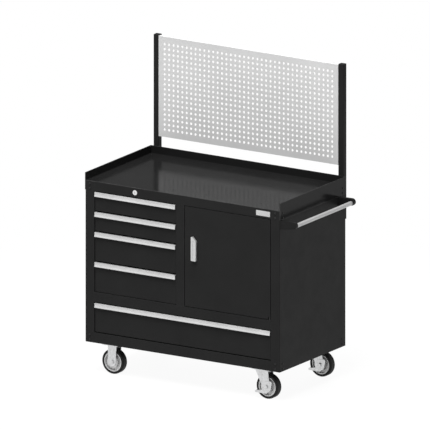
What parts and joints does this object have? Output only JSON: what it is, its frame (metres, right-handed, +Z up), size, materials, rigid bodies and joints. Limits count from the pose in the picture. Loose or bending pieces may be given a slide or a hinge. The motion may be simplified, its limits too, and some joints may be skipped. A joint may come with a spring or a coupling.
{
  "type": "mobile workbench cabinet",
  "caption": "Wheeled steel workbench cabinet with a tray top, stacked drawers beside a cupboard door, a full-width lower drawer, a perforated tool board and a push handle.",
  "frame": {"origin": "middle of the footprint's bounding box, on the floor", "axes": "+Z up, drawers and door face -Y, the push handle is on +X"},
  "size_m": [1.2194, 0.652, 1.572],
  "materials": {
    "black_paint": "satin powder coat",
    "tray_black": "gloss powder coat",
    "zinc_steel": "zinc plated",
    "black_screw": "black oxide",
    "grey_bolt": "phosphated",
    "aluminium": "satin anodised",
    "bright_chrome": "bright plated",
    "satin_steel": "satin plated",
    "black_plastic": "fine grain",
    "board_grey": "satin powder coat",
    "tyre": "smooth rubber",
    "rim_grey": "cast, blasted"
  },
  "bodies": {
    "cabinet": {"left_side_panel": "black_paint", "right_side_panel": "black_paint", "back_panel": "black_paint", "base_panel": "black_paint", "top_rail": "black_paint", "mid_rail": "black_paint", "bottom_rail": "black_paint", "centre_stile": "black_paint", "divider_panel": "black_paint", "mid_deck": "black_paint", "runner_uprights": "black_paint", "cupboard_shelf": "black_paint", "shelf_clips": "zinc_steel", "worktop_tray": "tray_black", "tray_screws": "black_screw", "frame_bolts": "grey_bolt", "nameplate": "aluminium", "lock_housing": "bright_chrome", "back_posts": "black_paint", "post_caps": "black_plastic", "pegboard": "board_grey", "handle_brackets": "black_plastic", "handle_bar": "satin_steel", "outer_runners": "zinc_steel", "rigid_forks": "zinc_steel", "swivel_plates": "zinc_steel", "caster_bolts": "zinc_steel", "hinge_pins": "grey_bolt", "door_catch": "black_plastic"},
    "door": {"door_panel": "black_paint", "door_pull": "aluminium"},
    "lock": {"lock_plug": "bright_chrome", "lock_cam": "zinc_steel"},
    "drawer_1": {"drawer_1_body": "black_paint", "drawer_1_pull": "aluminium"},
    "runners_1": {"drawer_1_middle_runners": "zinc_steel"},
    "drawer_2": {"drawer_2_body": "black_paint", "drawer_2_pull": "aluminium"},
    "runners_2": {"drawer_2_middle_runners": "zinc_steel"},
    "drawer_3": {"drawer_3_body": "black_paint", "drawer_3_pull": "aluminium"},
    "runners_3": {"drawer_3_middle_runners": "zinc_steel"},
    "drawer_4": {"drawer_4_body": "black_paint", "drawer_4_pull": "aluminium"},
    "runners_4": {"drawer_4_middle_runners": "zinc_steel"},
    "drawer_5": {"drawer_5_body": "black_paint", "drawer_5_pull": "aluminium"},
    "runners_5": {"drawer_5_middle_runners": "zinc_steel"},
    "front_right_caster": {"front_right_fork": "zinc_steel"},
    "rear_right_caster": {"rear_right_fork": "zinc_steel"},
    "front_left_wheel": {"front_left_rim": "rim_grey", "front_left_tyre": "tyre"},
    "rear_left_wheel": {"rear_left_rim": "rim_grey", "rear_left_tyre": "tyre"},
    "front_right_wheel": {"front_right_rim": "rim_grey", "front_right_tyre": "tyre"},
    "rear_right_wheel": {"rear_right_rim": "rim_grey", "rear_right_tyre": "tyre"},
    "front_right_pedal": {"front_right_brake_pedal": "zinc_steel"},
    "rear_right_pedal": {"rear_right_brake_pedal": "zinc_steel"}
  },
  "joints": [
    {"name": "door_hinge", "type": "hinge", "parent": "cabinet", "child": "door", "pos_m": [0.45535, -0.3085, 0.412], "axis": [0, 0, 1], "range_deg": [0, 105]},
    {"name": "lock_turn", "type": "hinge", "parent": "cabinet", "child": "lock", "pos_m": [-0.31765, -0.314, 0.9475], "axis": [0, -1, 0], "range_deg": [0, 90]},
    {"name": "drawer_1_slide", "type": "slide", "parent": "cabinet", "child": "drawer_1", "axis": [0, -1, 0], "range_m": [0, 0.45]},
    {"name": "runners_1_slide", "type": "slide", "parent": "cabinet", "child": "runners_1", "axis": [0, -1, 0], "range_m": [0, 0.225]},
    {"name": "drawer_2_slide", "type": "slide", "parent": "cabinet", "child": "drawer_2", "axis": [0, -1, 0], "range_m": [0, 0.45]},
    {"name": "runners_2_slide", "type": "slide", "parent": "cabinet", "child": "runners_2", "axis": [0, -1, 0], "range_m": [0, 0.225]},
    {"name": "drawer_3_slide", "type": "slide", "parent": "cabinet", "child": "drawer_3", "axis": [0, -1, 0], "range_m": [0, 0.45]},
    {"name": "runners_3_slide", "type": "slide", "parent": "cabinet", "child": "runners_3", "axis": [0, -1, 0], "range_m": [0, 0.225]},
    {"name": "drawer_4_slide", "type": "slide", "parent": "cabinet", "child": "drawer_4", "axis": [0, -1, 0], "range_m": [0, 0.45]},
    {"name": "runners_4_slide", "type": "slide", "parent": "cabinet", "child": "runners_4", "axis": [0, -1, 0], "range_m": [0, 0.225]},
    {"name": "drawer_5_slide", "type": "slide", "parent": "cabinet", "child": "drawer_5", "axis": [0, -1, 0], "range_m": [0, 0.45]},
    {"name": "runners_5_slide", "type": "slide", "parent": "cabinet", "child": "runners_5", "axis": [0, -1, 0], "range_m": [0, 0.225]},
    {"name": "front_right_swivel", "type": "hinge", "parent": "cabinet", "child": "front_right_caster", "pos_m": [0.39135, -0.258, 0.1447], "axis": [0, 0, 1], "continuous": true},
    {"name": "rear_right_swivel", "type": "hinge", "parent": "cabinet", "child": "rear_right_caster", "pos_m": [0.39135, 0.235, 0.1447], "axis": [0, 0, 1], "continuous": true},
    {"name": "front_left_roll", "type": "hinge", "parent": "cabinet", "child": "front_left_wheel", "pos_m": [-0.47065, -0.258, 0.0625], "axis": [0, 1, 0], "continuous": true},
    {"name": "rear_left_roll", "type": "hinge", "parent": "cabinet", "child": "rear_left_wheel", "pos_m": [-0.47065, 0.235, 0.0625], "axis": [0, 1, 0], "continuous": true},
    {"name": "front_right_roll", "type": "hinge", "parent": "front_right_caster", "child": "front_right_wheel", "pos_m": [0.41835, -0.258, 0.0625], "axis": [0, 1, 0], "continuous": true},
    {"name": "rear_right_roll", "type": "hinge", "parent": "rear_right_caster", "child": "rear_right_wheel", "pos_m": [0.41835, 0.235, 0.0625], "axis": [0, 1, 0], "continuous": true},
    {"name": "front_right_brake", "type": "hinge", "parent": "front_right_caster", "child": "front_right_pedal", "pos_m": [0.41835, -0.258, 0.0625], "axis": [0, -1, 0], "range_deg": [0, 15]},
    {"name": "rear_right_brake", "type": "hinge", "parent": "rear_right_caster", "child": "rear_right_pedal", "pos_m": [0.41835, 0.235, 0.0625], "axis": [0, -1, 0], "range_deg": [0, 15]}
  ],
  "couplings": [
    {"joint": "runners_1_slide", "follows": "drawer_1_slide", "ratio": 0.5},
    {"joint": "runners_2_slide", "follows": "drawer_2_slide", "ratio": 0.5},
    {"joint": "runners_3_slide", "follows": "drawer_3_slide", "ratio": 0.5},
    {"joint": "runners_4_slide", "follows": "drawer_4_slide", "ratio": 0.5},
    {"joint": "runners_5_slide", "follows": "drawer_5_slide", "ratio": 0.5}
  ]
}
